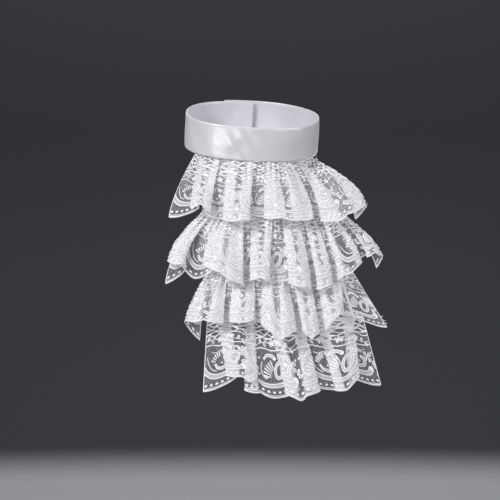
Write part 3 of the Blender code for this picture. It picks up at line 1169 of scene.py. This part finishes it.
# %% Scallop with comma-shaped ribbons
def comma_scallop():
    """A large and a small comma, one inside the other, with a flower and leaves."""
    lace = new_scallop(0.0)
    lace.ribbon([(-4, 37), (-1.5, 27), (4, 18), (12, 12.8), (22, 11.4), (30, 13.2), (33, 18)],
                1.4, 2.2, 3.2, 3.8, 3.8, 4.0, 4.6)
    lace.ribbon([(12.6, 24.6), (15.4, 20.2), (21, 18.4), (26, 20.6), (26.8, 25.4), (23.6, 28)],
                1.0, 1.8, 2.4, 2.6, 2.6, 3.0)
    lace.cord([(3.4, 33), (5.4, 26), (10, 19.6), (14.6, 17.2)], 0.8)
    lace.rays(20.0, 22.6, 8.0, 13.0, 100, 152, 5)
    lace.flower(31.4, 29.4, 4.4, petals=4, turn=40.0)
    lace.leaf(25.4, 33.0, 158, 5.4, 2.6)
    lace.leaf(36.4, 22.0, 62, 5.6, 2.6)
    lace.leaf(36.8, 20.4, 8, 4.6, 2.2)
    lace.cord([(8.4, 36.8), (14, 35.2), (20, 36.4), (25, 35), (30, 36.6)], 0.7)
    for x, h in ((20.6, 23.4), (37.2, 34.4)):
        lace.dot(x, h, 2.0, 2.0)
    return lace


# %% Scallop with an open eye
def eye_scallop():
    """An eye of plain net between stripes and a flower, over a long ribbon."""
    lace = new_scallop(SCALLOP)
    lace.ribbon([(-1.6, 15), (4, 12), (12, 11), (21, 10.8), (29, 12), (33.6, 15.6)],
                2.0, 2.8, 2.8, 3.0, 3.4, 4.0)
    lace.eye(23.5, 23.2, 8.4, 13.4, -24.0, rim=2.2)
    lace.rays(20.6, 17.4, 7.6, 16.4, 112, 172, 6)
    lace.ribbon([(6.4, 33.6), (11, 37), (17, 36.6), (20.8, 33.6)], 1.0, 1.8, 2.2, 2.8)
    lace.cord([(3.6, 20), (2.6, 26), (4.4, 31.2)], 0.9)
    lace.flower(33.6, 31.0, 4.6)
    lace.leaf(31.4, 17.8, 52, 6.2, 2.8)
    lace.leaf(30.0, 32.4, 130, 4.6, 2.2)
    lace.leaf(9.2, 17.6, 160, 4.6, 2.2)
    for x, h in ((37.4, 22.6), (25.6, 35.6), (1.2, 35.0)):
        lace.dot(x, h, 2.0, 2.0)
    return lace


SCALLOP_DRAWINGS = (comma_scallop(), eye_scallop())
print("faces in the repeat:", [len(d.work.faces) + len(d.thread.faces) for d in SCALLOP_DRAWINGS])

# %% [markdown]
# ## Carrying the lace to the folds
# The two drawings are laid in turn along the strip, stretched by a hair so that a whole number
# of scallops fits. What would run over the ends or above the sewn edge is cut off. A thread
# binds each short end, and where the real lace has frayed, a few loose ends of thread curl off
# it. Then each point is looked up on the hanging surface.

# %% Lay the repeat along a ruffle
END_MARGIN = 0.3
TOP_MARGIN = 0.4


def join(parts):
    """One list of points and one of faces from several of each."""
    points, faces, count = [], [], 0
    for part_points, part_faces in parts:
        points.append(part_points)
        faces += [tuple(i + count for i in face) for face in part_faces]
        count += len(part_points)
    return np.vstack(points), faces


def lay_repeat(hanging, kind):
    """Points on the flat cloth, their stand, and the faces of one kind of lace work."""
    last = hanging.length - END_MARGIN
    first_drawing = hanging.ruffle.folds[0].deep % 2
    parts = []
    for k in range(-1, hanging.scallops + 1):
        drawing = getattr(SCALLOP_DRAWINGS[(k + first_drawing) % 2], kind)
        flat, faces = drawing.laid()
        across = (flat[:, 0] / SCALLOP + k) * (hanging.length / hanging.scallops)
        down = CLOTH_DEPTH - flat[:, 1]
        inside = (across > END_MARGIN) & (across < last) & (down > TOP_MARGIN)
        kept = [face for face in faces if all(inside[list(face)])]
        parts.append((np.stack([across, down, flat[:, 2]], axis=1), kept))
    return join(parts)


# %% Bound ends and frayed threads
# Fray: where a thread starts, counted back from the strip's last end and down from the sewn
# edge, how far it leans and rises from there, and how far its tip stands off the cloth.
END_INSET = 0.5
Fray = namedtuple("Fray", "across down lean rise stand")
FRAYS = {
    "ruffle_1": (
        Fray(-15.5, 7.0, 2.0, 2.5, 3.4), Fray(-15.0, 8.6, -1.5, 1.0, 4.4),
        Fray(-16.5, 10.4, 1.5, 2.4, 3.4), Fray(-16.0, 12.6, 2.5, -1.0, 3.8),
        Fray(-18.5, 71.0, 1.0, -3.0, 1.6), Fray(-16.0, 71.5, 1.5, -2.2, 2.4),
    ),
    "ruffle_3": (
        Fray(-1.0, 60.0, 3.0, 2.0, 1.6), Fray(-1.0, 63.0, 2.6, -1.0, 2.2),
        Fray(-1.0, 66.5, 3.6, 0.6, 0.8),
    ),
}


def side_cords(hanging):
    """A thread down each short end of the strip, where it is cut and bound."""
    drawing = Drawing()
    down = np.linspace(0.6, CLOTH_DEPTH - SCALLOP_DROP, 70)
    for across in (END_INSET, hanging.length - END_INSET):
        path = np.stack([0 * down + across, down], axis=1)
        drawing.strip(path, 0.9, THREAD_STAND, 0.4)
    return drawing.laid()


def loose_ends(hanging):
    """The ruffle's frayed threads in a list of one drawing, or an empty list."""
    drawing = Drawing()
    share = np.linspace(0.0, 1.0, 6)
    for fray in FRAYS.get(hanging.ruffle.name, ()):
        across = hanging.length + fray.across + fray.lean * share
        path = np.stack([across, fray.down - fray.rise * share ** 1.6], axis=1)
        drawing.strip(path, 0.5, THREAD_STAND + fray.stand * share, 0.15)
    return [drawing.laid()] if drawing.count else []


# %% Lace work of the four ruffles
def make_lace_work(name, kind, ending, finish):
    """One ruffle's cloth work or threads as a mesh, without points that no face uses."""
    hanging = HANGING[name]
    points, faces = lay_repeat(hanging, kind)
    if kind == "thread":
        points, faces = join([(points, faces), side_cords(hanging), *loose_ends(hanging)])
    used = np.unique(np.concatenate([np.asarray(f) for f in faces]))
    fresh = np.full(len(points), -1)
    fresh[used] = np.arange(len(used))
    points = points[used]
    faces = [tuple(fresh[list(f)]) for f in faces]
    placed = hanging.carry(points[:, 0], points[:, 1], points[:, 2])
    obj = add_mesh(name + ending, placed, faces, finish)
    lay_flat(obj, points[:, :2])
    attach(obj, "root")
    return obj


WORKS = {name: make_lace_work(name, "work", "_cloth_work", CLOTH_WORK) for name in HANGING}
THREADS = {name: make_lace_work(name, "thread", "_threads", THREAD) for name in HANGING}
print("cloth work", sum(triangles(o) for o in WORKS.values()), "triangles")
print("threads", sum(triangles(o) for o in THREADS.values()), "triangles")

# %% The pieces that hold each ruffle
for name, net in NETS.items():
    holder = ["neckband", "backing_panel"] if name == "ruffle_1" else ["backing_panel"]

# %% [markdown]
# ## The panel
# The ruffles are sewn to a plain strip of net that hangs from the neckband. It shows only from
# behind, so it is a single sheet with a bound edge and the four rows of stitches that hold the
# gathers.

# %% Panel sheet
PANEL_TOP = -27.0
PANEL_FOOT = -194.0
PANEL_INSET = 6.0
PANEL_STAND = -0.5


def panel_point(across, down, stand):
    """A point of the panel by its shares across and down, both from 0 to 1."""
    first, last = RUFFLES[0], RUFFLES[-1]
    left = first.start.root + PANEL_INSET + (last.start.root - first.start.root) * down
    right = first.end.root - PANEL_INSET + (last.end.root - first.end.root) * down
    x = left + (right - left) * across
    z = PANEL_TOP + (PANEL_FOOT - PANEL_TOP) * down + neck_rise(x) * (1.0 - down) ** 3
    return ground(x, z, stand)


def make_panel(rows=81, columns=61):
    """The panel's net, and its width and length, measured over the middle of the sheet."""
    down, across = np.linspace(0, 1, rows), np.linspace(0, 1, columns)
    down, across = np.meshgrid(down, across, indexing="ij")
    points = panel_point(across, down, PANEL_STAND)
    obj = add_mesh("panel_net", points.reshape(-1, 3), grid_faces(rows, columns), NET)
    width = np.linalg.norm(np.diff(points[rows // 2], axis=0), axis=1).sum()
    length = np.linalg.norm(np.diff(points[:, columns // 2], axis=0), axis=1).sum()
    lay_flat(obj, np.stack([across * width, down * length], axis=-1).reshape(-1, 2))
    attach(obj, "root")
    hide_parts("backing_panel")
    return obj, width, length


# %% Panel binding and stitches
BINDING_INSET = 0.8
BINDING_WIDE = 2.6
BINDING_TOP = 0.05
STITCH = 2.6
STITCH_PITCH = 4.4
STITCH_MARGIN = 3.0
STITCH_BELOW = 1.5


def draw_binding(width, length):
    """Bound side and foot edges on the flat panel, and short stitches along each ruffle."""
    drawing = Drawing()
    even = np.linspace(0.0, 1.0, 120)
    sides = even * (1.0 - BINDING_TOP) + BINDING_TOP
    for x in (BINDING_INSET, width - BINDING_INSET):
        drawing.strip([(x, t * length) for t in sides], BINDING_WIDE, 0.2, 0.25)
    foot = length - BINDING_INSET
    drawing.strip([(t * width, foot) for t in even], BINDING_WIDE, 0.2, 0.25)
    for ruffle in RUFFLES:
        row = PANEL_TOP - ruffle.root_z + STITCH_BELOW
        row = row / (PANEL_TOP - PANEL_FOOT) * length
        for x in np.arange(STITCH_MARGIN, width - STITCH_MARGIN, STITCH_PITCH):
            drawing.strip([(x, row), (x + STITCH / 2, row), (x + STITCH, row)], 0.8, 0.3, 0.4)
    return drawing.laid()


def make_binding(width, length):
    """The binding and stitches as a mesh. They lie on the back, so their faces are turned."""
    flat, faces = draw_binding(width, length)
    placed = panel_point(flat[:, 0] / width, flat[:, 1] / length, PANEL_STAND - flat[:, 2])
    obj = add_mesh("panel_binding", placed, [face[::-1] for face in faces], THREAD)
    lay_flat(obj, flat[:, :2])
    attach(obj, "root")
    return obj


panel, panel_width, panel_length = make_panel()
binding = make_binding(panel_width, panel_length)
print("panel cut", round(panel_width), "x", round(panel_length), "mm")

# %% [markdown]
# ## Check the size and finish
# Cloth may stand a little proud of its solid, but the jabot keeps its size.
